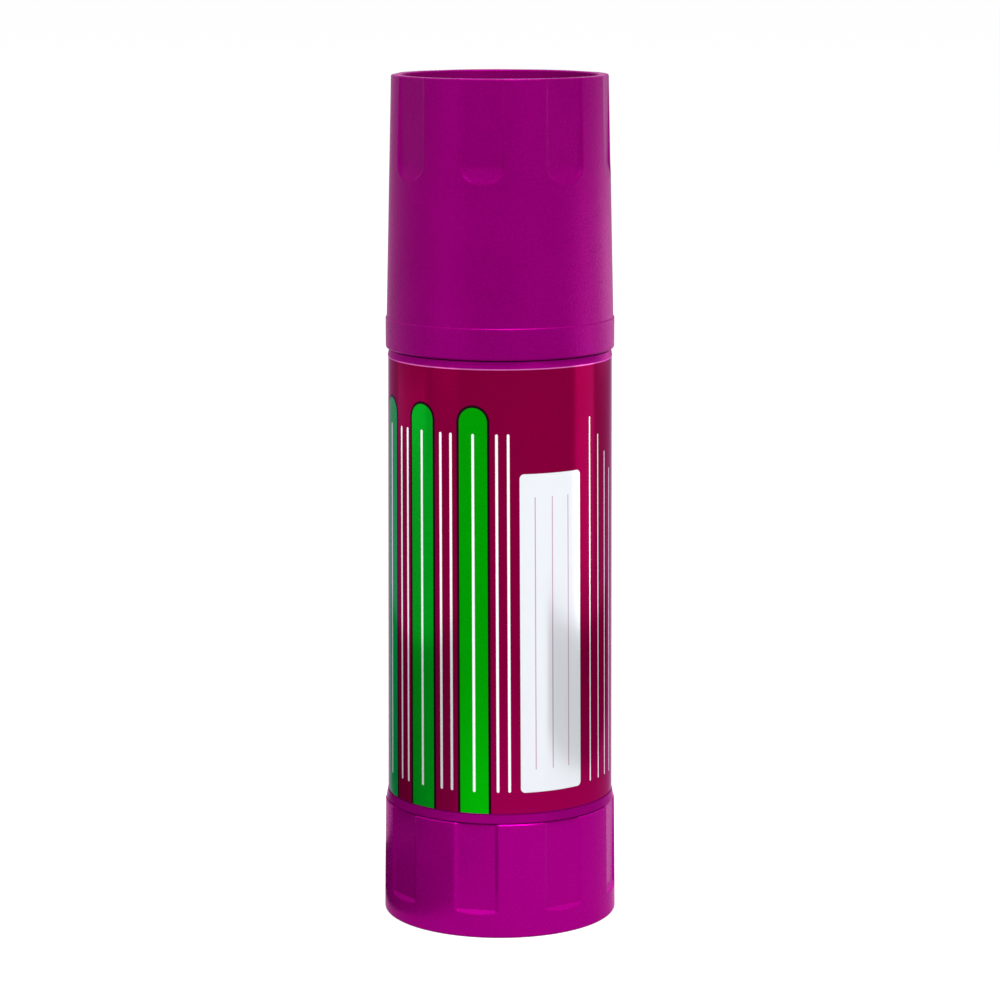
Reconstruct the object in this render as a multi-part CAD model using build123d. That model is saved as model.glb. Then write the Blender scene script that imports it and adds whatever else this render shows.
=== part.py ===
from build123d import *
import math
import os

# Twist-up glue stick with its cap on, standing on its knob.
# All lengths are millimetres. The origin is the middle of the foot, +Z runs up the axis
# and -Y faces the viewer. Angles round the axis are measured from -Y towards +X.

# Knob: a cup that turns below the barrel, with eight flats for the fingers
knob_height = 15.25
knob_overhang = 0.11
knob_draft = 0.68
knob_foot_edge = 0.3
knob_top_edge = 0.22
knob_wall = 1.5
knob_floor = 1.4
knob_foot_recess = 0.7
knob_foot_width = 2.4
flat_count = 8
flat_turn = -11.6
flat_width = 5.62
flat_depth = 0.5
flat_floor_start = 3.85
flat_runout = 0.5
knob_rib_count = 8
knob_rib_thickness = 1.0
knob_rib_height = 3.4
socket_wall = 1.7
snap_bead_height = 0.24
snap_bead_width = 1.0
snap_bead_drop = 4.4

# Barrel: one moulding with a flange, a label recess, a land and a neck for the cap
bore_radius = 12.8
neck_wall = 0.95
neck_height = 12.7
neck_lead_in = 0.35
neck_bead_height = 0.07
neck_bead_width = 0.9
neck_bead_drop = 4.0
barrel_draft = 0.285
flange_height = 1.1
flange_flare = 0.17
label_recess = 0.17
land_height = 0.92
land_taper = 0.16
land_edge = 0.12
tail_length = 7.2
tail_wall = 1.25
snap_groove_depth = 0.4
bulkhead_drop = 0.6
bulkhead_thickness = 1.5
guide_rib_count = 4
guide_rib_turn = 45.0
guide_rib_height = 0.5
guide_rib_width = 1.6
guide_rib_mouth_gap = 3.0

# Label: a printed film wrapped once round the recess, with its ends butted at the back
label_height = 58.4
label_thickness = 0.08
label_seam = 0.3

# Cap: a tapering push-on cap, its end panel sunk below an open rim, with eight grip flutes
cap_height = 35.53
cap_band_height = 4.14
cap_band_step = 0.15
cap_foot_edge = 0.3
cap_wall = 1.0
cap_overhang = 0.26
cap_draft = 1.334
cap_rim_wall = 1.35
cap_rim_edge = 0.2
cap_recess = 2.7
cap_panel = 1.2
cap_chamber_wall_gap = 0.15
cap_neck_headroom = 0.7
flute_count = 8
flute_turn = -9.3
flute_width = 5.75
flute_depth = 0.58
flute_length = 11.05
flute_runout = 2.0
flute_corner_share = 0.38

# Spindle: a left-handed drive screw, plugged into the knob and running in the bulkhead
spindle_core_radius = 2.3
flight_height = 1.3
flight_root = 2.2
flight_crest = 1.3
flight_sink = 0.35
flight_start_gap = 1.2
spindle_lead = 6.0
spindle_tip_drop = 1.0
spindle_tip_chamfer = 0.8
journal_radius = 3.0
collar_radius = 5.0
collar_thickness = 1.2
plug_flats = 4.4
plug_length = 6.5

# Carrier: the cup that holds the glue, with a nut boss whose thread rides the spindle
carrier_height = 9.0
carrier_wall = 1.2
carrier_floor = 1.3
nut_wall = 1.2
nut_lug_count = 3
nut_lug_turn_share = 0.2
carrier_lead_in = 0.4

# Glue: a part-used mass cast round the spindle, its top just below the mouth
glue_top_drop = 0.3
glue_crown = 0.35
glue_worn_edge = 1.1

# How far the carrier can go from where it rests here
travel_down = 40.0
travel_up = 18.0

# Fits and working gaps
running_gap = 0.12
turning_fit = 0.1
cap_fit = 0.1
carrier_fit = 0.15
guide_fit = 0.15
film_gap = 0.04
cast_fit = 0.02
plug_fit = 0.03
thread_fit = 0.2
axial_play = 0.1
stop_gap = 0.3
overrun = 1.0
same_place = 0.001

# Heights worked out from the foot upwards
flange_foot = knob_height + running_gap
label_foot = flange_foot + flange_height
label_top = label_foot + label_height
land_top = label_top + land_height
mouth = land_top + neck_height
cap_foot = land_top + running_gap
cap_top = cap_foot + cap_height
band_top = cap_foot + cap_band_height
tail_foot = flange_foot - tail_length
bulkhead_top = flange_foot - bulkhead_drop
bulkhead_foot = bulkhead_top - bulkhead_thickness
collar_foot = bulkhead_top + axial_play
collar_top = collar_foot + collar_thickness
carrier_foot = collar_top + stop_gap + travel_down
glue_top = mouth - glue_top_drop
spindle_top = glue_top - spindle_tip_drop
lug_root = spindle_lead - flight_crest - thread_fit * 2
lug_crest = spindle_lead - flight_root - thread_fit * 2
lug_rise = spindle_lead * nut_lug_turn_share
nut_height = lug_root + thread_fit * 2 + spindle_lead * (nut_lug_count - 1) / nut_lug_count + lug_rise
flight_foot = collar_top + flight_start_gap + flight_root / 2
flight_top = carrier_foot + travel_up + nut_height + flight_root / 2
cap_panel_top = cap_top - cap_recess
cap_ceiling = cap_panel_top - cap_panel
snap_height = flange_foot - snap_bead_drop

# Radii worked out from the bore outwards
neck_radius = bore_radius + neck_wall
cap_bore_radius = neck_radius + cap_fit
cap_radius = cap_bore_radius + cap_wall
cap_rim_radius = cap_radius - (cap_top - band_top) * math.tan(math.radians(cap_draft))
cap_chamber_radius = bore_radius + cap_chamber_wall_gap
land_top_radius = cap_radius - cap_overhang
land_foot_radius = land_top_radius + land_taper
recess_top_radius = land_foot_radius - label_recess
recess_foot_radius = recess_top_radius + label_height * math.tan(math.radians(barrel_draft))
flange_top_radius = recess_foot_radius + label_recess
flange_foot_radius = flange_top_radius + flange_flare
knob_top_radius = flange_foot_radius + knob_overhang
knob_foot_radius = knob_top_radius + knob_height * math.tan(math.radians(knob_draft))
knob_bore_radius = knob_top_radius - knob_wall
tail_radius = knob_bore_radius - turning_fit
flight_radius = spindle_core_radius + flight_height
nut_bore_radius = flight_radius + thread_fit
nut_radius = nut_bore_radius + nut_wall
carrier_radius = bore_radius - carrier_fit
glue_radius = carrier_radius


def cap_radius_at(height):
    """Radius of the cap's drafted wall above its band."""
    return cap_radius - (height - band_top) * math.tan(math.radians(cap_draft))


def turned(points):
    """Solid of revolution about Z from a closed outline of radius and height pairs."""
    outline = make_face(Polyline(*[(r, 0, z) for r, z in points], close=True))
    return revolve(outline, axis=Axis.Z)


def rims(shape, height, radius):
    """The circular edges of a shape at one height and radius."""
    return [
        edge for edge in shape.edges().filter_by(GeomType.CIRCLE)
        if abs(edge.center().Z - height) < same_place and abs(edge.radius - radius) < same_place
    ]


def grip_cutter(floor_radius, floor_end, run_height, run_depth, width, top, outside):
    """Prism that cuts one flat-floored grip, open at the top, with a sloping lower end."""
    slope = run_height / run_depth
    outline = Polyline(
        (0, -floor_radius, floor_end),
        (0, -floor_radius, top),
        (0, -outside, top),
        (0, -outside, floor_end - slope * (outside - floor_radius)),
        close=True,
    )
    return extrude(make_face(outline), amount=width / 2, dir=(1, 0, 0), both=True)


def around(tool, count, turn):
    """Copies of a tool spaced evenly round the axis."""
    return [Rot(0, 0, turn + k * 360 / count) * tool for k in range(count)]


def thread(root_radius, crest_radius, root, crest, foot, height, turn):
    """Left-handed helical ridge of trapezoid section, from the root radius to the crest radius."""
    path = Pos(0, 0, foot) * Rot(0, 0, turn) * Helix(
        pitch=spindle_lead, height=height, radius=root_radius, lefthand=True)
    section = Pos(0, 0, foot) * Rot(0, 0, turn) * make_face(Polyline(
        (root_radius, 0, -root / 2),
        (crest_radius, 0, -crest / 2),
        (crest_radius, 0, crest / 2),
        (root_radius, 0, root / 2),
        close=True,
    ))
    return sweep(section, path=path, is_frenet=True)


def build_knob():
    floor_top = knob_foot_recess + knob_floor
    draft = math.tan(math.radians(knob_draft))
    recess_radius = knob_foot_radius - knob_foot_width
    shell = turned([
        (0, knob_foot_recess),
        (recess_radius, knob_foot_recess),
        (recess_radius, 0),
        (knob_foot_radius, 0),
        (knob_top_radius, knob_height),
        (knob_bore_radius, knob_height),
        (knob_bore_radius, floor_top),
        (0, floor_top),
    ])
    shell = chamfer(rims(shell, 0, knob_foot_radius), knob_foot_edge)
    shell = chamfer(rims(shell, knob_height, knob_top_radius), knob_top_edge)

    flat_floor = knob_foot_radius - flat_floor_start * draft - flat_depth
    flat = grip_cutter(flat_floor, flat_floor_start, flat_runout, flat_depth, flat_width,
                       knob_height + overrun, knob_foot_radius + overrun)
    shell -= around(flat, flat_count, flat_turn)

    bead = turned([
        (knob_bore_radius + knob_wall / 2, snap_height - snap_bead_width / 2),
        (knob_bore_radius, snap_height - snap_bead_width / 2),
        (knob_bore_radius - snap_bead_height, snap_height),
        (knob_bore_radius, snap_height + snap_bead_width / 2),
        (knob_bore_radius + knob_wall / 2, snap_height + snap_bead_width / 2),
    ])
    socket_radius = journal_radius + socket_wall
    socket_top = bulkhead_foot - stop_gap
    socket = Pos(0, 0, floor_top - knob_floor / 2) * Cylinder(
        socket_radius, socket_top - floor_top + knob_floor / 2, align=(Align.CENTER, Align.CENTER, Align.MIN))
    rib_reach = knob_bore_radius + knob_wall / 2 - journal_radius
    rib = Pos(journal_radius, 0, floor_top - knob_floor / 2) * Box(
        rib_reach, knob_rib_thickness, knob_rib_height + knob_floor / 2,
        align=(Align.MIN, Align.CENTER, Align.MIN))
    knob = shell + bead + socket + around(rib, knob_rib_count, 0)

    plug_hole = Pos(0, 0, socket_top - plug_length) * extrude(
        RegularPolygon(plug_flats / 2 + plug_fit, 6, major_radius=False), amount=plug_length + overrun)
    return knob - plug_hole


def build_barrel():
    tail_inside = tail_radius - tail_wall
    hole = journal_radius + turning_fit
    body = turned([
        (hole, bulkhead_foot),
        (tail_inside, bulkhead_foot),
        (tail_inside, tail_foot),
        (tail_radius, tail_foot),
        (tail_radius, flange_foot),
        (flange_foot_radius, flange_foot),
        (flange_top_radius, label_foot),
        (recess_foot_radius, label_foot),
        (recess_top_radius, label_top),
        (land_foot_radius, label_top),
        (land_top_radius, land_top),
        (neck_radius, land_top),
        (neck_radius, mouth),
        (bore_radius, mouth),
        (bore_radius, bulkhead_top),
        (hole, bulkhead_top),
    ])
    body = chamfer(rims(body, land_top, land_top_radius), land_edge)
    body = chamfer(rims(body, mouth, neck_radius) + rims(body, mouth, bore_radius), neck_lead_in)

    bead_height = mouth - neck_bead_drop
    bead = turned([
        (neck_radius - neck_wall / 2, bead_height - neck_bead_width / 2),
        (neck_radius, bead_height - neck_bead_width / 2),
        (neck_radius + neck_bead_height, bead_height),
        (neck_radius, bead_height + neck_bead_width / 2),
        (neck_radius - neck_wall / 2, bead_height + neck_bead_width / 2),
    ])
    groove = turned([
        (tail_radius + overrun, snap_height - snap_bead_width),
        (tail_radius, snap_height - snap_bead_width),
        (tail_radius - snap_groove_depth, snap_height - snap_bead_width / 2),
        (tail_radius - snap_groove_depth, snap_height + snap_bead_width / 2),
        (tail_radius, snap_height + snap_bead_width),
        (tail_radius + overrun, snap_height + snap_bead_width),
    ])
    rib_top = mouth - guide_rib_mouth_gap
    rib = Pos(bore_radius - guide_rib_height, 0, bulkhead_top - bulkhead_thickness / 2) * Box(
        guide_rib_height + neck_wall / 2, guide_rib_width, rib_top - bulkhead_top + bulkhead_thickness / 2,
        align=(Align.MIN, Align.CENTER, Align.MIN))
    return body + bead - groove + around(rib, guide_rib_count, guide_rib_turn)


def build_label():
    foot_inside = recess_foot_radius + film_gap
    top_inside = recess_top_radius + film_gap
    film = turned([
        (foot_inside, label_foot),
        (foot_inside + label_thickness, label_foot),
        (top_inside + label_thickness, label_top),
        (top_inside, label_top),
    ])
    seam = Pos(0, bore_radius, label_foot - overrun) * Box(
        label_seam, recess_foot_radius, label_height + overrun * 2, align=(Align.CENTER, Align.MIN, Align.MIN))
    return film - seam


def build_cap():
    band_radius = cap_radius + cap_band_step
    rim_inside = cap_rim_radius - cap_rim_wall
    bore_top = mouth + cap_neck_headroom
    chamber_foot = bore_top + cap_bore_radius - cap_chamber_radius
    shell = turned([
        (cap_bore_radius, cap_foot),
        (band_radius, cap_foot),
        (band_radius, band_top),
        (cap_radius, band_top),
        (cap_rim_radius, cap_top),
        (rim_inside, cap_top),
        (rim_inside, cap_panel_top),
        (0, cap_panel_top),
        (0, cap_ceiling),
        (cap_chamber_radius, cap_ceiling),
        (cap_chamber_radius, chamber_foot),
        (cap_bore_radius, bore_top),
    ])
    shell = chamfer(rims(shell, cap_foot, band_radius) + rims(shell, cap_foot, cap_bore_radius), cap_foot_edge)
    shell = chamfer(rims(shell, band_top, band_radius), cap_band_step / 2)
    shell = chamfer(rims(shell, cap_top, cap_rim_radius) + rims(shell, cap_top, rim_inside), cap_rim_edge)

    floor_end = cap_top - flute_length
    flute_floor = cap_radius_at(floor_end) - flute_depth
    flute = grip_cutter(flute_floor, floor_end, flute_runout, flute_depth, flute_width,
                        cap_top + overrun, cap_radius + overrun)

    # Seen from outside each flute is a U: this prism rounds the lower corners of its cutter
    corner = flute_width * flute_corner_share
    flute_foot = floor_end - flute_runout
    window_height = cap_top + overrun + corner - flute_foot
    window = Plane.XZ * Pos(0, flute_foot + window_height / 2) * RectangleRounded(
        flute_width, window_height, corner)
    flute &= extrude(window, amount=cap_radius + overrun)
    return shell - around(flute, flute_count, flute_turn)


def build_spindle():
    journal_foot = bulkhead_foot - stop_gap
    core = turned([
        (0, journal_foot),
        (journal_radius, journal_foot),
        (journal_radius, collar_foot),
        (collar_radius, collar_foot),
        (collar_radius, collar_top),
        (spindle_core_radius, collar_top),
        (spindle_core_radius, spindle_top - spindle_tip_chamfer),
        (spindle_core_radius - spindle_tip_chamfer, spindle_top),
        (0, spindle_top),
    ])
    plug = Pos(0, 0, journal_foot - plug_length) * extrude(
        RegularPolygon(plug_flats / 2, 6, major_radius=False), amount=plug_length + overrun)
    flight = thread(spindle_core_radius - flight_sink, flight_radius, flight_root, flight_crest,
                    flight_foot, flight_top - flight_foot, 0)
    return core + plug + flight


def build_carrier():
    inside = carrier_radius - carrier_wall
    floor_top = carrier_foot + carrier_floor
    cup_top = carrier_foot + carrier_height
    nut_top = carrier_foot + nut_height
    cup = turned([
        (nut_bore_radius, carrier_foot),
        (carrier_radius, carrier_foot),
        (carrier_radius, cup_top),
        (inside, cup_top),
        (inside, floor_top),
        (nut_radius, floor_top),
        (nut_radius, nut_top),
        (nut_bore_radius, nut_top),
    ])
    cup = chamfer(rims(cup, carrier_foot, carrier_radius), carrier_lead_in)
    notch = Pos(bore_radius - guide_rib_height - guide_fit, 0, carrier_foot - overrun) * Box(
        guide_rib_height + overrun, guide_rib_width + guide_fit * 2, carrier_height + overrun * 2,
        align=(Align.MIN, Align.CENTER, Align.MIN))
    cup -= around(notch, guide_rib_count, guide_rib_turn)

    # The lugs lie on one helix in the middle of the spindle's groove, which they fill but for the fit
    first_lug = carrier_foot + lug_root / 2 + thread_fit
    for k in range(nut_lug_count):
        level = first_lug + k * spindle_lead / nut_lug_count
        turn = 180 - (level - flight_foot) / spindle_lead * 360
        cup += thread(nut_bore_radius + flight_sink, spindle_core_radius + thread_fit, lug_root, lug_crest,
                      level, lug_rise, turn)
    return cup


def build_glue():
    cup_inside = carrier_radius - carrier_wall - cast_fit
    floor_top = carrier_foot + carrier_floor
    cup_top = carrier_foot + carrier_height
    nut_top = carrier_foot + nut_height
    hole = nut_bore_radius
    mass = turned([
        (nut_radius + cast_fit, floor_top),
        (cup_inside, floor_top),
        (cup_inside, cup_top),
        (glue_radius, cup_top),
        (glue_radius, glue_top - glue_crown),
        (hole, glue_top),
        (hole, nut_top),
        (nut_radius + cast_fit, nut_top),
    ])
    mass = chamfer(rims(mass, glue_top - glue_crown, glue_radius), glue_worn_edge)
    groove = Pos(bore_radius - guide_rib_height - guide_fit, 0, cup_top - overrun) * Box(
        guide_rib_height + overrun, guide_rib_width + guide_fit * 2, glue_top - cup_top + overrun * 2,
        align=(Align.MIN, Align.CENTER, Align.MIN))
    return mass - around(groove, guide_rib_count, guide_rib_turn)


os.makedirs("parts", exist_ok=True)
pieces = {
    "knob": build_knob,
    "barrel": build_barrel,
    "label": build_label,
    "cap": build_cap,
    "spindle": build_spindle,
    "carrier": build_carrier,
    "glue": build_glue,
}
for name, build in pieces.items():
    export_step(build(), f"parts/{name}.step")
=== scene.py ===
import bpy
import math
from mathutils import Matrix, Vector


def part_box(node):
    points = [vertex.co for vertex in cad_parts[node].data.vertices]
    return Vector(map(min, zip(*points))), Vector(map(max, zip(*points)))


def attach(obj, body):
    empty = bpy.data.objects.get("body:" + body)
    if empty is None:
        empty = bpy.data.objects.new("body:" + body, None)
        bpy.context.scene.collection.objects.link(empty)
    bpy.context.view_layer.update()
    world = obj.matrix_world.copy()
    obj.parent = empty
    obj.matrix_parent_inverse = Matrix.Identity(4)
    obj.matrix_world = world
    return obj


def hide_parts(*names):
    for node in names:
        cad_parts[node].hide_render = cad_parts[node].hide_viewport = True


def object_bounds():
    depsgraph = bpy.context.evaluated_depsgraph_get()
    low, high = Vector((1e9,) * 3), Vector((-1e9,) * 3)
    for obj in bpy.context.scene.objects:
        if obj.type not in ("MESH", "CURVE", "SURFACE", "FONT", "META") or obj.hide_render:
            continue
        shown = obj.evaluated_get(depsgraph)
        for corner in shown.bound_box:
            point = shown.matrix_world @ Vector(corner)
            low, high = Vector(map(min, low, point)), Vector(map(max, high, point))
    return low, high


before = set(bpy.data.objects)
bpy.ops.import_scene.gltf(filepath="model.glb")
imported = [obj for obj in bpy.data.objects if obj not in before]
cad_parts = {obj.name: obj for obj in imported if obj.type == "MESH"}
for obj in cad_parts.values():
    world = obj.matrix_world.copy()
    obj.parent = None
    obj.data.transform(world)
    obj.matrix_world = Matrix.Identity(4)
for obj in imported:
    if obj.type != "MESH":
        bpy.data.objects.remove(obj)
cad_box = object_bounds()


# Studio: a white sweep under soft boxes. Low ones at the sides draw the bright bands down the label's
# edges, two keys light the front, and a large one hangs overhead. Unseen black boards darken what
# the stick reflects near its foot.
mm = 0.001
camera_distance = 437.4 * mm
camera_height = 131.9 * mm
camera_pitch = 9.914
camera_lens = 120.8
camera_near = 10 * mm
sweep_size = 16.0
sweep_grey = 0.45
sweep_lift = 0.72
sweep_roughness = 0.95
ambient = 0.6
felt_black = 0.01
flag_thickness = 1 * mm
flag_width = 120 * mm
card_size = (29 * mm, 80 * mm, 0.4 * mm)


def node(tree, kind, **settings):
    """Adds one shader node and sets its plain properties."""
    made = tree.nodes.new(kind)
    for key, value in settings.items():
        setattr(made, key, value)
    return made


def maths(tree, operation, first, second=0.5, third=0.5):
    """One step of arithmetic on numbers or on outputs of other nodes."""
    made = node(tree, "ShaderNodeMath", operation=operation)
    for socket, value in zip(made.inputs, (first, second, third)):
        if isinstance(value, bpy.types.NodeSocket):
            tree.links.new(value, socket)
        else:
            socket.default_value = value
    return made.outputs[0]


def seen_directly(tree):
    """1 for what the camera sees, also through gloss or glass, and 0 for what lights the stick."""
    path = node(tree, "ShaderNodeLightPath")
    seen = maths(tree, "MAXIMUM", path.outputs["Is Camera Ray"], path.outputs["Is Glossy Ray"])
    return maths(tree, "MAXIMUM", seen, path.outputs["Is Transmission Ray"])


def softbox(name, azimuth, elevation, distance, width, tall, brightness):
    """A rectangular lamp that faces the middle of the stick. Azimuth 0 is the camera's side."""
    turn = math.radians(azimuth)
    rise = math.radians(elevation)
    reach = distance * math.cos(rise)
    height = cad_box[1][2] / 2 + distance * math.sin(rise)
    place = (math.sin(turn) * reach, -math.cos(turn) * reach, height)
    bpy.ops.object.light_add(type="AREA", location=place, rotation=(math.pi / 2 - rise, 0, turn))
    lamp = bpy.context.object
    lamp.name = name
    lamp.visible_camera = False
    lamp.data.shape = "RECTANGLE"
    lamp.data.size = width
    lamp.data.size_y = tall
    lamp.data.energy = brightness * math.pi * width * tall


bpy.ops.object.camera_add(
    location=(0, -camera_distance, camera_height),
    rotation=(math.radians(90 - camera_pitch), 0, 0),
)
camera = bpy.context.object
camera.data.lens = camera_lens
camera.data.clip_start = camera_near
bpy.context.scene.camera = camera

softbox("left_box", azimuth=-103, elevation=-5.5, distance=0.3, width=0.26, tall=0.014, brightness=2.4)
softbox("right_box", azimuth=95, elevation=-4, distance=0.24, width=0.12, tall=0.076, brightness=4.0)
softbox("rear_box", azimuth=132, elevation=2, distance=0.24, width=0.13, tall=0.036, brightness=3.4)
softbox("left_glow", azimuth=-57, elevation=0, distance=0.5, width=0.26, tall=0.07, brightness=2.8)
softbox("left_key", azimuth=-40, elevation=26, distance=0.6, width=0.12, tall=0.14, brightness=5.5)
softbox("right_key", azimuth=34, elevation=22, distance=0.7, width=0.28, tall=0.28, brightness=2.1)
softbox("overhead", azimuth=20, elevation=74, distance=0.8, width=0.42, tall=0.4, brightness=15.0)

bpy.ops.mesh.primitive_plane_add(size=sweep_size)
sweep = bpy.context.object
sweep.name = "sweep"

felt = bpy.data.materials.new("black_felt")
felt.use_nodes = True
surface = felt.node_tree.nodes["Principled BSDF"]
surface.inputs["Base Color"].default_value = (felt_black, felt_black, felt_black, 1)
surface.inputs["Specular IOR Level"].default_value = 0.0


def black_flag(name, place, size):
    """A black board beside the stick that the camera doesn't see and that casts no shadow."""
    bpy.ops.mesh.primitive_cube_add(size=1, location=place, scale=size)
    flag = bpy.context.object
    flag.name = name
    flag.visible_camera = False
    flag.visible_shadow = False
    flag.data.materials.append(felt)
    return flag


black_flag("left_flag", (-50 * mm, 0, 15.5 * mm), (flag_thickness, flag_width, 29 * mm))
left_card = black_flag("left_card", (-31.5 * mm, -12 * mm, card_size[2]), card_size)
left_card.visible_diffuse = False
black_flag("right_flag", (62 * mm, 0, 19.5 * mm), (flag_thickness, flag_width, 21 * mm))

paper = bpy.data.materials.new("sweep_paper")
paper.use_nodes = True
tree = paper.node_tree
surface = tree.nodes["Principled BSDF"]
surface.inputs["Base Color"].default_value = (sweep_grey, sweep_grey, sweep_grey, 1)
surface.inputs["Roughness"].default_value = sweep_roughness
surface.inputs["Specular IOR Level"].default_value = 0.0
surface.inputs["Emission Color"].default_value = (1, 1, 1, 1)
lift = maths(tree, "MULTIPLY", seen_directly(tree), sweep_lift)
tree.links.new(lift, surface.inputs["Emission Strength"])
sweep.data.materials.append(paper)

world = bpy.data.worlds.new("studio")
world.use_nodes = True
bpy.context.scene.world = world
tree = world.node_tree
level = node(tree, "ShaderNodeMix", data_type="RGBA")
level.inputs["A"].default_value = (ambient, ambient, ambient, 1)
level.inputs["B"].default_value = (1, 1, 1, 1)
tree.links.new(seen_directly(tree), level.inputs["Factor"])
tree.links.new(level.outputs["Result"], tree.nodes["Background"].inputs["Color"])

bpy.context.scene.view_settings.view_transform = "Standard"


# Knob: the foot that the fingers turn, a thin-walled cup moulded in glossy purple plastic.
# Eight flats round it end in a sloping ledge above a plain ring. Ribs inside carry a socket for
# the spindle, and a bead inside its rim snaps into the barrel's groove.
turn_steps = 192
grip_count = 8
grip_steps = 96
same_corner = 0.002
weld_distance = 0.0005
smooth_angle = 35


def deselect():
    if bpy.context.object and bpy.context.object.mode != "OBJECT":
        bpy.ops.object.mode_set(mode="OBJECT")
    bpy.ops.object.select_all(action="DESELECT")


def only(piece):
    """Makes one piece the selected and active one."""
    deselect()
    piece.select_set(True)
    bpy.context.view_layer.objects.active = piece


def select_where(piece, test):
    """Selects, in edit mode, the vertices of a piece whose place passes a test."""
    bpy.ops.object.mode_set(mode="OBJECT")
    mesh = piece.data
    mesh.edges.foreach_set("select", [False] * len(mesh.edges))
    mesh.polygons.foreach_set("select", [False] * len(mesh.polygons))
    for v in mesh.vertices:
        v.select = test(v.co)
    bpy.ops.object.mode_set(mode="EDIT")


def weld():
    """Merges the doubles of the piece in edit mode, turns its faces outwards and leaves edit mode."""
    bpy.ops.mesh.select_all(action="SELECT")
    bpy.ops.mesh.remove_doubles(threshold=weld_distance)
    bpy.ops.mesh.normals_make_consistent(inside=False)
    bpy.ops.object.mode_set(mode="OBJECT")


def turned(name, outline, rounded=(), angle=360, steps=turn_steps):
    """Draws an outline of radius and height point by point, softens some corners, and spins it.

    Sizes are in millimetres. An outline that starts and ends on the axis is left open there, and
    any other is closed first. Each softening is a size, its segments and the corners it is given to.
    """
    deselect()
    bpy.ops.mesh.primitive_plane_add(size=1, location=(outline[0][0], 0, outline[0][1]))
    piece = bpy.context.object
    piece.name = name
    bpy.ops.object.transform_apply(location=True)
    bpy.ops.object.mode_set(mode="EDIT")
    bpy.ops.mesh.select_mode(type="VERT")
    bpy.ops.mesh.select_all(action="SELECT")
    bpy.ops.mesh.merge(type="CENTER")
    for (r0, z0), (r1, z1) in zip(outline, outline[1:]):
        bpy.ops.mesh.extrude_region_move(TRANSFORM_OT_translate={"value": (r1 - r0, 0, z1 - z0)})

    def at_corner(place, corners):
        return any(math.hypot(place.x - r, place.z - z) < same_corner for r, z in corners)

    if outline[0][0] > 0:
        select_where(piece, lambda co: at_corner(co, (outline[0], outline[-1])))
        bpy.ops.mesh.edge_face_add()
    for size, segments, corners in rounded:
        select_where(piece, lambda co: at_corner(co, corners))
        bpy.ops.mesh.bevel(affect="VERTICES", offset=size, segments=segments)
    bpy.ops.mesh.select_all(action="SELECT")
    bpy.ops.mesh.spin(steps=steps, angle=math.radians(angle), center=(0, 0, 0), axis=(0, 0, 1))
    weld()
    return piece


def modifier(piece, kind, **settings):
    """Adds a modifier with its settings and applies it."""
    only(piece)
    added = piece.modifiers.new(kind.lower(), kind)
    for key, value in settings.items():
        setattr(added, key, value)
    bpy.ops.object.modifier_apply(modifier=added.name)


def block(x_low, x_high, width, z_low, z_high):
    """A plain block that lies across the X axis, to be joined to a piece or cut out of it."""
    deselect()
    bpy.ops.mesh.primitive_cube_add(
        size=1,
        location=((x_low + x_high) / 2, 0, (z_low + z_high) / 2),
        scale=(x_high - x_low, width, z_high - z_low),
    )
    bpy.ops.object.transform_apply(location=True, scale=True)
    return bpy.context.object


def ring_of(tool, count, turn):
    """Copies a tool evenly round the axis, each with its own mesh, and joins them into one object."""
    copies = []
    for k in range(count):
        only(tool)
        bpy.ops.object.duplicate()
        copy = bpy.context.object
        copy.rotation_euler.z = math.radians(turn + k * 360 / count)
        copies.append(copy)
    bpy.data.objects.remove(tool)
    deselect()
    for copy in copies:
        copy.select_set(True)
    bpy.context.view_layer.objects.active = copies[0]
    bpy.ops.object.transform_apply(location=True, rotation=True, scale=True)
    bpy.ops.object.join()
    return bpy.context.object


def combine(piece, tool, operation):
    modifier(piece, "BOOLEAN", object=tool, operation=operation, solver="EXACT")
    bpy.data.objects.remove(tool)


def gripped(name, outline, rounded, press, turn):
    """A turned piece with grips pressed into its wall. One eighth is spun and brought to face +X,
    its wall is pushed in there, and eight copies make the ring. The depth that press gives, in
    millimetres and less than one, is each vertex's weight."""
    eighth = turned(name, outline, rounded, 360 / grip_count, grip_steps)
    across = sum(v.co.x for v in eighth.data.vertices)
    aside = sum(v.co.y for v in eighth.data.vertices)
    eighth.rotation_euler.z = -math.atan2(aside, across)
    bpy.ops.object.transform_apply(rotation=True)
    grip = eighth.vertex_groups.new(name="grip")
    for v in eighth.data.vertices:
        depth = press(math.hypot(v.co.x, v.co.y), math.atan2(v.co.y, v.co.x), v.co.z)
        if depth > 0:
            grip.add([v.index], depth, "REPLACE")
    modifier(eighth, "DISPLACE", direction="X", strength=-1.0, mid_level=0, vertex_group="grip")
    whole = ring_of(eighth, grip_count, turn)
    whole.name = name
    bpy.ops.object.mode_set(mode="EDIT")
    weld()
    return whole


def eased(share):
    """0 to 1 with a soft start and a soft end."""
    share = min(max(share, 0), 1)
    return share * share * (3 - 2 * share)


def spaced(low, high, count):
    """Heights from low to high at even steps."""
    return [low + (high - low) * k / (count - 1) for k in range(count)]


def finish_mesh(piece):
    """Shades the faces and brings the piece from millimetres to metres."""
    only(piece)
    bpy.ops.object.shade_smooth_by_angle(angle=math.radians(smooth_angle))
    modifier(piece, "WEIGHTED_NORMAL", keep_sharp=True, weight=100)
    piece.scale = (mm, mm, mm)
    bpy.ops.object.transform_apply(scale=True)


def noise(tree, size, detail=2.0):
    """Noise on the piece's own coordinates, in cells of about the given size in metres."""
    made = node(tree, "ShaderNodeTexNoise")
    made.inputs["Scale"].default_value = 1 / size
    made.inputs["Detail"].default_value = detail
    place = node(tree, "ShaderNodeTexCoord")
    tree.links.new(place.outputs["Object"], made.inputs["Vector"])
    return made.outputs["Fac"]


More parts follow.
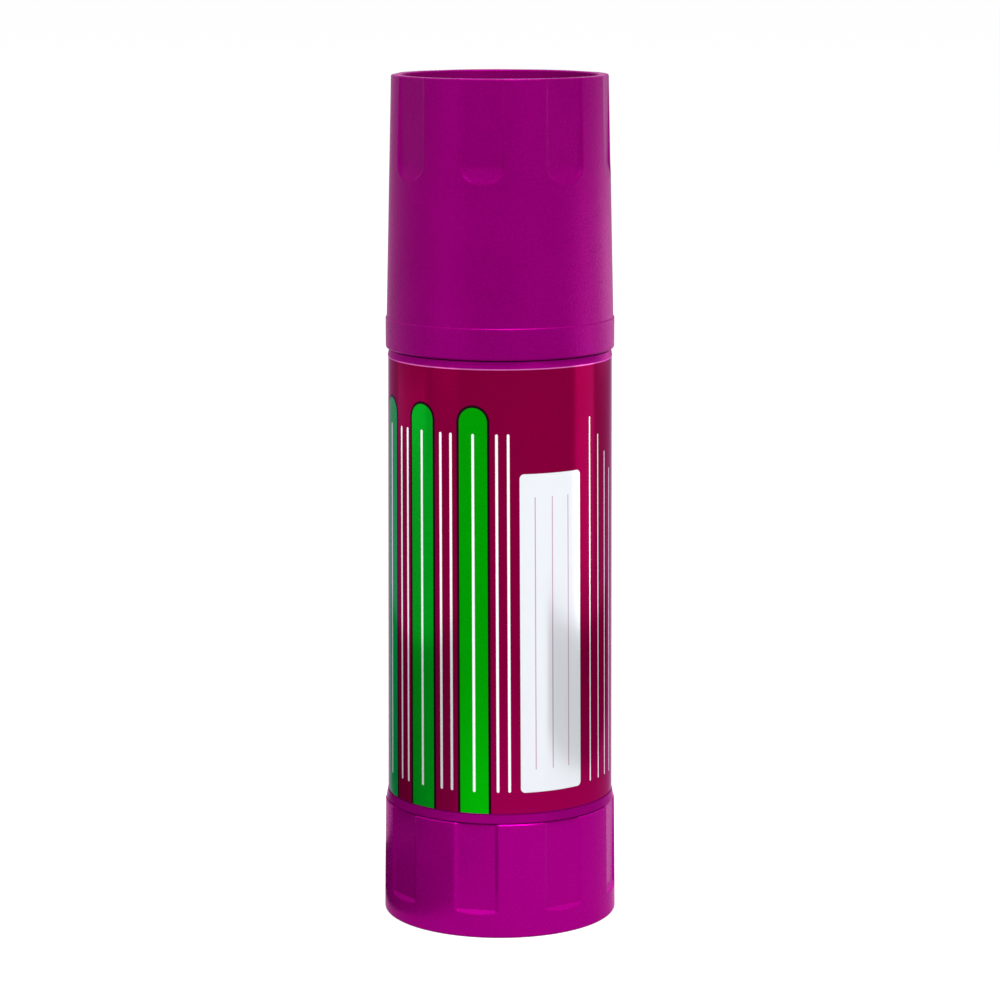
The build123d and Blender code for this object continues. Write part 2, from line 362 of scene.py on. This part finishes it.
def spread(tree, value, low, high, low_to=0, high_to=1):
    """Maps a value from one range to another."""
    made = node(tree, "ShaderNodeMapRange")
    for socket, number in zip(list(made.inputs)[1:5], (low, high, low_to, high_to)):
        socket.default_value = number
    tree.links.new(value, made.inputs["Value"])
    return made.outputs[0]


def blended(tree, factor, first, second):
    """Mixes two colours, each a plain colour or the output of a node."""
    made = node(tree, "ShaderNodeMix", data_type="RGBA")
    tree.links.new(factor, made.inputs["Factor"])
    for key, colour in (("A", first), ("B", second)):
        if isinstance(colour, bpy.types.NodeSocket):
            tree.links.new(colour, made.inputs[key])
        else:
            made.inputs[key].default_value = (*colour, 1)
    return made.outputs["Result"]


def gloss(surface, pigment, specular, tint):
    """The plastic's gloss. Its pearly pigment tints what it reflects with its own colour."""
    surface.inputs["Metallic"].default_value = pigment
    surface.inputs["Specular IOR Level"].default_value = specular
    surface.inputs["Specular Tint"].default_value = (*tint, 1)


cloud_size = 12 * mm
cloud_detail = 3
cloud_range = (0.9, 1.7)
grain_share = 1.6
grain_range = (0.3, 0.7)
roughness_play = 0.15


def plastic(name, colour, shade, pigment, specular, tint, roughness, grain_size, grain_depth):
    """Moulded plastic: faint clouds in its colour, and the fine grain that the mould leaves on it."""
    made = bpy.data.materials.new(name)
    made.use_nodes = True
    tree = made.node_tree
    surface = tree.nodes["Principled BSDF"]
    gloss(surface, pigment, specular, tint)
    grain = noise(tree, grain_size)
    clouds = noise(tree, cloud_size, cloud_detail)
    mottle = maths(tree, "ADD", clouds, maths(tree, "MULTIPLY", grain, grain_share))
    mottled = blended(tree, spread(tree, mottle, *cloud_range), shade, colour)
    tree.links.new(mottled, surface.inputs["Base Color"])
    smooth, rough = roughness * (1 - roughness_play), roughness * (1 + roughness_play)
    tree.links.new(spread(tree, grain, *grain_range, smooth, rough), surface.inputs["Roughness"])
    bump = node(tree, "ShaderNodeBump")
    bump.inputs["Distance"].default_value = grain_depth
    tree.links.new(grain, bump.inputs["Height"])
    tree.links.new(bump.outputs[0], surface.inputs["Normal"])
    return made


def fit_out(piece, material, body, replaced):
    """Gives a piece its material and its place in the stick."""
    piece.data.materials.clear()
    piece.data.materials.append(material)
    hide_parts(replaced)
    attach(piece, body)


purple_gloss = (1.0, 0.15, 0.8)
seam_gap = 0.12
knob_foot_radius = 15.5
knob_foot_rounding = 0.3
knob_top_radius = 15.32
knob_top_chamfer = 0.15
knob_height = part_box("knob")[1][2] / mm
knob_bore_radius = 13.82
knob_recess_radius = 13.1
knob_recess_top = 0.7
knob_floor_top = 2.1
flange_foot = knob_height + seam_gap
snap_height = flange_foot - 4.4
snap_half_height = 0.5
snap_bead_rise = 0.24
socket_radius = 4.7
socket_bore = 2.6
socket_top = flange_foot - 2.4
socket_floor = socket_top - 6.6
flat_turn = -90 - 11.8
flat_half_width = 3.05
flat_side_run = 0.6
flat_floor_radius = 14.93
flat_floor_end = 3.68
flat_reach = 0.7
ledge_slope = 0.95
ledge_rows = spaced(2.9, 3.9, 14)


def knob_radius_at(height):
    return knob_foot_radius + (knob_top_radius - knob_foot_radius) * height / knob_height


def flat_press(radius, turn, height):
    """A flat floor with soft sides, and a sloping ledge at its lower end."""
    if radius < knob_bore_radius + flat_reach or height < ledge_rows[0]:
        return 0
    surface_x = knob_radius_at(height) * math.cos(turn)
    across = eased((flat_half_width - abs(surface_x * math.tan(turn))) / flat_side_run)
    floor_x = flat_floor_radius + max(0, flat_floor_end - height) * ledge_slope
    return max(0, surface_x - floor_x) * across


knob = gripped(
    "turning_knob",
    [
        (0, knob_recess_top),
        (knob_recess_radius, knob_recess_top),
        (knob_recess_radius, 0),
        (knob_foot_radius, 0),
        *[(knob_radius_at(z), z) for z in ledge_rows],
        (knob_top_radius, knob_height),
        (knob_bore_radius, knob_height),
        (knob_bore_radius, snap_height + snap_half_height),
        (knob_bore_radius - snap_bead_rise, snap_height),
        (knob_bore_radius, snap_height - snap_half_height),
        (knob_bore_radius, knob_floor_top),
        (socket_radius, knob_floor_top),
        (socket_radius, socket_top),
        (socket_bore, socket_top),
        (socket_bore, socket_floor),
        (0, socket_floor),
    ],
    [
        (knob_foot_rounding, 4, [(knob_foot_radius, 0)]),
        (knob_top_chamfer, 1, [(knob_top_radius, knob_height)]),
    ],
    flat_press,
    flat_turn,
)
knob_rib = block(x_low=4.0, x_high=14.5, width=1.0, z_low=1.4, z_high=5.5)
combine(knob, ring_of(knob_rib, count=8, turn=0), "UNION")
finish_mesh(knob)
# Painted light: the knob is the cap's plastic, but its colour is painted lighter to stand in for the light
# the floor throws up onto the foot.
knob_plastic = plastic(
    "knob_plastic", colour=(0.33, 0.0, 0.2), shade=(0.3, 0.0, 0.18), pigment=0.28, specular=0.0075,
    tint=purple_gloss, roughness=0.26, grain_size=0.3 * mm, grain_depth=0.006 * mm,
)
fit_out(knob, knob_plastic, "knob", "knob")


# Spindle: the drive screw of natural white plastic, plugged into the knob's socket.
# Only its tip shows, down the hole in the glue.
no_tint = (1, 1, 1)
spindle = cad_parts["spindle"]
screw_plastic = plastic(
    "screw_plastic", colour=(0.8, 0.79, 0.75), shade=(0.74, 0.73, 0.68), pigment=0, specular=0.4,
    tint=no_tint, roughness=0.4, grain_size=0.4 * mm, grain_depth=0.01 * mm,
)
spindle.data.materials.clear()
spindle.data.materials.append(screw_plastic)


# Barrel: the body moulding, with the flange over the knob, the recess that the label lies in,
# the land above it and the bare neck that the cap grips. Four ribs in its bore guide the carrier.
barrel_low, barrel_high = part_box("barrel")
label_low, label_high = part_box("label")
label_foot = label_low[2] / mm
label_top = label_high[2] / mm
mouth = barrel_high[2] / mm
tail_foot = barrel_low[2] / mm
tail_radius = 13.72
tail_wall = 1.25
snap_groove_depth = 0.4
snap_groove_half_height = 1.0
bulkhead_foot = flange_foot - 2.1
bulkhead_top = flange_foot - 0.6
journal_hole = 3.1
flange_low_radius = 15.21
flange_high_radius = 15.04
recess_low_radius = 14.87
recess_high_radius = 14.58
land_low_radius = 14.75
land_high_radius = 14.59
land_top = label_top + 0.92
land_rounding = 0.12
seam_chamfer = 0.04
bore_radius = 12.8
neck_radius = 13.75
neck_bead = mouth - 4.0
neck_bead_rise = 0.07
neck_bead_half_height = 0.45
mouth_rounding = 0.35

barrel = turned(
    "barrel_body",
    [
        (journal_hole, bulkhead_foot),
        (tail_radius - tail_wall, bulkhead_foot),
        (tail_radius - tail_wall, tail_foot),
        (tail_radius, tail_foot),
        (tail_radius, snap_height - snap_groove_half_height),
        (tail_radius - snap_groove_depth, snap_height - snap_half_height),
        (tail_radius - snap_groove_depth, snap_height + snap_half_height),
        (tail_radius, snap_height + snap_groove_half_height),
        (tail_radius, flange_foot),
        (flange_low_radius, flange_foot),
        (flange_high_radius, label_foot),
        (recess_low_radius, label_foot),
        (recess_high_radius, label_top),
        (land_low_radius, label_top),
        (land_high_radius, land_top),
        (neck_radius, land_top),
        (neck_radius, neck_bead - neck_bead_half_height),
        (neck_radius + neck_bead_rise, neck_bead),
        (neck_radius, neck_bead + neck_bead_half_height),
        (neck_radius, mouth),
        (bore_radius, mouth),
        (bore_radius, bulkhead_top),
        (journal_hole, bulkhead_top),
    ],
    [
        (land_rounding, 2, [(land_high_radius, land_top)]),
        (seam_chamfer, 1, [(flange_low_radius, flange_foot), (land_low_radius, label_top)]),
        (mouth_rounding, 4, [(neck_radius, mouth), (bore_radius, mouth)]),
    ],
)
guide_rib = block(x_low=12.3, x_high=13.2, width=1.6, z_low=14.0, z_high=mouth - 3)
combine(barrel, ring_of(guide_rib, count=4, turn=45), "UNION")
finish_mesh(barrel)
barrel_plastic = plastic(
    "barrel_plastic", colour=(0.27, 0.0, 0.16), shade=(0.245, 0.0, 0.145), pigment=0.25, specular=0.0075,
    tint=purple_gloss, roughness=0.3, grain_size=0.3 * mm, grain_depth=0.006 * mm,
)
fit_out(barrel, barrel_plastic, "barrel", "barrel")


# Carrier: the cup under the glue, moulded in the same natural plastic as the spindle.
# The glue hides all but its underside.
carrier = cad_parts["carrier"]
carrier.data.materials.clear()
carrier.data.materials.append(screw_plastic)


# Glue: a firm wax-like mass cast in the carrier and round the spindle. Its end is worn round and
# a little uneven by use.
glue_low, glue_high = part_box("glue")
glue_foot = glue_low[2] / mm
glue_top = glue_high[2] / mm
carrier_foot = glue_foot - 1.3
cup_inside = 11.43
cup_top = carrier_foot + 9.0
nut_radius = 5.02
nut_top = carrier_foot + 9.9
glue_radius = 12.65
glue_hole = 3.8
glue_crown = 0.35
crown_steps = 9
glue_edge_rounding = 1.0
glue_hole_rounding = 0.5
worn_depth = 1.5
worn_most = 0.5
smear_size = 3.0

crown = []
for k in range(crown_steps + 1):
    share = k / crown_steps
    crown.append((glue_radius + (glue_hole - glue_radius) * share, glue_top - glue_crown * (1 - share) ** 2))
glue = turned(
    "glue_mass",
    [
        (nut_radius, glue_foot),
        (cup_inside, glue_foot),
        (cup_inside, cup_top),
        (glue_radius, cup_top),
        *crown,
        (glue_hole, nut_top),
        (nut_radius, nut_top),
    ],
    [(glue_edge_rounding, 4, [crown[0]]), (glue_hole_rounding, 4, [crown[-1]])],
)
rib_groove = block(x_low=12.15, x_high=13.3, width=1.9, z_low=cup_top - 1, z_high=glue_top + 1)
combine(glue, ring_of(rib_groove, count=4, turn=45), "DIFFERENCE")
worn = glue.vertex_groups.new(name="worn_end")
worn.add([v.index for v in glue.data.vertices if v.co.z > glue_top - worn_depth], 1.0, "REPLACE")
smears = bpy.data.textures.new("smears", "CLOUDS")
smears.noise_scale = smear_size
modifier(glue, "DISPLACE", texture=smears, texture_coords="LOCAL", direction="Z", strength=worn_most,
         mid_level=1.0, vertex_group="worn_end")
finish_mesh(glue)
glue_wax = plastic(
    "glue_wax", colour=(0.83, 0.82, 0.76), shade=(0.78, 0.77, 0.7), pigment=0, specular=0.4,
    tint=no_tint, roughness=0.42, grain_size=0.8 * mm, grain_depth=0.03 * mm,
)
wax = glue_wax.node_tree.nodes["Principled BSDF"]
wax.inputs["Subsurface Weight"].default_value = 0.35
wax.inputs["Subsurface Radius"].default_value = (1.0, 0.9, 0.7)
wax.inputs["Subsurface Scale"].default_value = 2 * mm
fit_out(glue, glue_wax, "carrier", "glue")


# Label: a printed glossy film wrapped once round the recess, its ends butted at the back. On
# crimson stand green bars, white pinstripes between them, and a white name panel with ruled lines.
film_foot_radius = 14.91
film_top_radius = 14.62
film_thickness = 0.08
film_seam = 0.3
film_foot = label_foot + 0.2

label = turned(
    "printed_label",
    [
        (film_foot_radius, film_foot),
        (film_foot_radius + film_thickness, film_foot),
        (film_top_radius + film_thickness, label_top),
        (film_top_radius, label_top),
    ],
)
seam = block(x_low=14, x_high=16, width=film_seam, z_low=film_foot - 1, z_high=label_top + 1)
combine(label, ring_of(seam, count=1, turn=90), "DIFFERENCE")
finish_mesh(label)

print_radius = 14.85 * mm
print_lean = 0.0045
print_middle = 45 * mm
print_softness = 0.06
crimson = (0.2, 0.0, 0.038)
crimson_shade = (0.17, 0.0, 0.03)
# Painted light: a lighter crimson, and below a lighter green for each bar, painted where light from low on
# the right falls on the label.
painted_light_crimson = (0.27, 0.0, 0.06)
leaf_greens = ((0.0005, 0.3, 0.001), (0.0005, 0.3, 0.011), (0.002, 0.33, 0.07))
leaf_shade_share = 0.85
painted_light_leaf_share = 1.35
outline_ink = (0.012, 0.003, 0.006)
white_ink = (0.86, 0.86, 0.88)
panel_ink = (0.72, 0.75, 0.79)
rule_ink = (0.5, 0.3, 0.42)
film_core = (0.66, 0.12, 0.44)
film_core_heights = ((label_top - 0.17) * mm, (label_top - 0.13) * mm)
fine_size = 0.22 * mm
broad_size = 4 * mm
broad_share = 0.4
mottle_range = (0.45, 0.95)
painted_light_heights = (34 * mm, 16 * mm)
painted_light_angles = (-1.0, -0.1)
bar_centres = (-13.35, -42.8, -72.3)
bar_width = 4.44
bar_outline = 0.36
bar_top = 70.2
gap_centres = (1.5, -28.0, -56.6)
pin_width = 0.34
pin_low = 19.5
pin_high = 66.5
pin_aside = 0.75
panel_centre = 27.2
panel_width = 8.9
panel_low = 19.4
panel_high = 61.3
panel_corner = 0.6
rule_width = 0.14
rule_spacing = 2.4
rule_margin = 3.0
fine_line_turn = 52
fine_line_step = 7.5
fine_line_width = 0.2
fine_line_low = 19.6
fine_line_high = 68.0
fine_line_drop = 2.5

label_film = bpy.data.materials.new("label_film")
label_film.use_nodes = True
tree = label_film.node_tree
surface = tree.nodes["Principled BSDF"]
surface.inputs["Roughness"].default_value = 0.16
gloss(surface, pigment=0.28, specular=0.004, tint=(0.6, 0.1, 0.7))

spot = node(tree, "ShaderNodeSeparateXYZ")
tree.links.new(node(tree, "ShaderNodeTexCoord").outputs["Object"], spot.inputs[0])
front = maths(tree, "MULTIPLY", spot.outputs["Y"], -1.0)
angle = maths(tree, "ARCTAN2", spot.outputs["X"], front)
height = spot.outputs["Z"]
straight = maths(tree, "MULTIPLY", angle, print_radius)
lean = maths(tree, "MULTIPLY", maths(tree, "SUBTRACT", height, print_middle), print_lean)
flat_place = node(tree, "ShaderNodeCombineXYZ")
tree.links.new(maths(tree, "ADD", straight, lean), flat_place.inputs["X"])
tree.links.new(height, flat_place.inputs["Y"])


def turn_of(run):
    """The angle, in degrees, of a run of millimetres round the label."""
    return math.degrees(run * mm / print_radius)


def inside(centre, width, low, high, corner):
    """1 inside a rounded rectangle on the unrolled label and 0 outside. The sizes are in
    millimetres and the centre is an angle round the stick."""
    middle = (math.radians(centre) * print_radius, (low + high) / 2 * mm, 0)
    half = ((width / 2 - corner) * mm, ((high - low) / 2 - corner) * mm, 0)
    reach = flat_place.outputs[0]
    steps = (("SUBTRACT", middle), ("ABSOLUTE", None), ("SUBTRACT", half), ("MAXIMUM", (0, 0, 0)))
    for operation, value in steps:
        step = node(tree, "ShaderNodeVectorMath", operation=operation)
        tree.links.new(reach, step.inputs[0])
        if value:
            step.inputs[1].default_value = value
        reach = step.outputs[0]
    length = node(tree, "ShaderNodeVectorMath", operation="LENGTH")
    tree.links.new(reach, length.inputs[0])
    outer, inner = (corner + print_softness / 2) * mm, (corner - print_softness / 2) * mm
    return spread(tree, length.outputs["Value"], outer, inner)


def pinstripe(centre):
    return inside(centre, pin_width, pin_low, pin_high, pin_width / 2)


fine = noise(tree, fine_size)
broad = maths(tree, "MULTIPLY", noise(tree, broad_size), broad_share)
mottle = spread(tree, maths(tree, "ADD", fine, broad), *mottle_range)
# Painted light: the crimson and the bars' greens are painted lighter towards the label's foot, fully across
# the front and right and fading out round the left.
painted_light_mask = maths(tree, "MULTIPLY", spread(tree, height, *painted_light_heights), spread(tree, angle, *painted_light_angles))
ink = blended(tree, painted_light_mask, blended(tree, mottle, crimson_shade, crimson), painted_light_crimson)
for centre in gap_centres:
    for side in (-1, 1):
        ink = blended(tree, pinstripe(centre + side * turn_of(pin_aside)), ink, white_ink)
for centre, leaf_green in zip(bar_centres, leaf_greens):
    bar_foot = label_foot - bar_width
    bar = inside(centre, bar_width, bar_foot, bar_top, bar_width / 2)
    core_width = bar_width - bar_outline * 2
    core = inside(centre, core_width, bar_foot, bar_top - bar_outline, core_width / 2)
    leaf_shade = [leaf_shade_share * part for part in leaf_green]
    painted_light_leaf = [painted_light_leaf_share * part for part in leaf_green]
    leaf = blended(tree, painted_light_mask, blended(tree, mottle, leaf_shade, leaf_green), painted_light_leaf)
    ink = blended(tree, bar, ink, outline_ink)
    ink = blended(tree, core, ink, leaf)
    ink = blended(tree, pinstripe(centre), ink, white_ink)
ink = blended(tree, inside(panel_centre, panel_width, panel_low, panel_high, panel_corner), ink, panel_ink)
for k in (-1, 0, 1):
    centre = panel_centre + k * turn_of(rule_spacing)
    rule = inside(centre, rule_width, panel_low + rule_margin, panel_high - rule_margin, rule_width / 2)
    ink = blended(tree, rule, ink, rule_ink)
for k in range(4):
    centre = fine_line_turn + k * fine_line_step
    top = fine_line_high - k * fine_line_drop
    fine_line = inside(centre, fine_line_width, fine_line_low, top, fine_line_width / 2)
    ink = blended(tree, fine_line, ink, white_ink)
ink = blended(tree, spread(tree, height, *film_core_heights), ink, film_core)
tree.links.new(ink, surface.inputs["Base Color"])
fit_out(label, label_film, "barrel", "label")


# Cap: a push-on cap in satin purple plastic with a fine eroded grain. It tapers to an open rim
# round a sunken end panel, carries eight scooped grip flutes, and ends in a low raised band.
cap_low, cap_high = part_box("cap")
cap_foot = cap_low[2] / mm
cap_top = cap_high[2] / mm
band_top = cap_foot + 4.14
band_radius = 15.0
cap_radius = 14.85
cap_bore_radius = 13.85
cap_chamber_radius = 12.95
cap_bore_top = mouth + 0.7
cap_chamber_foot = cap_bore_top + cap_bore_radius - cap_chamber_radius
cap_rim_radius = 14.12
cap_rim_inside = 12.77
cap_panel_top = cap_top - 2.7
cap_ceiling = cap_panel_top - 1.2
cap_mouth_rounding = 0.3
cap_edge_chamfer = 0.14
cap_rim_rounding = 0.22
cap_panel_fillet = 0.3
flute_turn = -90 - 9.3
flute_half_width = 2.95
flute_side_run = 0.5
flute_floor_radius = 13.798
flute_floor_end = cap_top - 11.05
flute_reach = 0.6
flute_scoop = 2.2
scoop_power = 1.2
scoop_margin = 0.2
scoop_rows = spaced(flute_floor_end - flute_scoop - scoop_margin, flute_floor_end + scoop_margin, 16)
wall_rows = spaced(scoop_rows[-1] + 2, cap_top - 2, 4)


def cap_radius_at(height):
    return cap_radius + (cap_rim_radius - cap_radius) * (height - band_top) / (cap_top - band_top)


def flute_press(radius, turn, height):
    """A flat floor with soft sides, and a scoop at its lower end that closes it in a U."""
    below = (flute_floor_end - height) / flute_scoop
    if radius < cap_rim_inside + flute_reach or below >= 1:
        return 0
    surface_x = cap_radius_at(height) * math.cos(turn)
    below = max(0, below)
    half_width = flute_half_width * math.sqrt(1 - below ** 2)
    across = eased((half_width - abs(surface_x * math.tan(turn))) / flute_side_run)
    return max(0, surface_x - flute_floor_radius) * across * (1 - below ** scoop_power)


cap = gripped(
    "push_on_cap",
    [
        (0, cap_ceiling),
        (cap_chamber_radius, cap_ceiling),
        (cap_chamber_radius, cap_chamber_foot),
        (cap_bore_radius, cap_bore_top),
        (cap_bore_radius, cap_foot),
        (band_radius, cap_foot),
        (band_radius, band_top),
        (cap_radius, band_top),
        *[(cap_radius_at(z), z) for z in scoop_rows],
        *[(cap_radius_at(z), z) for z in wall_rows],
        (cap_rim_radius, cap_top),
        (cap_rim_inside, cap_top),
        (cap_rim_inside, cap_panel_top),
        (0, cap_panel_top),
    ],
    [
        (cap_mouth_rounding, 3, [(band_radius, cap_foot), (cap_bore_radius, cap_foot)]),
        (cap_edge_chamfer, 1, [(band_radius, band_top), (cap_rim_radius, cap_top)]),
        (cap_rim_rounding, 3, [(cap_rim_inside, cap_top)]),
        (cap_panel_fillet, 3, [(cap_rim_inside, cap_panel_top)]),
    ],
    flute_press,
    flute_turn,
)
finish_mesh(cap)
cap_plastic = plastic(
    "cap_plastic", colour=(0.24, 0.0, 0.143), shade=(0.195, 0.0, 0.115), pigment=0.28, specular=0.02,
    tint=purple_gloss, roughness=0.33, grain_size=0.24 * mm, grain_depth=0.05 * mm,
)
fit_out(cap, cap_plastic, "cap", "cap")
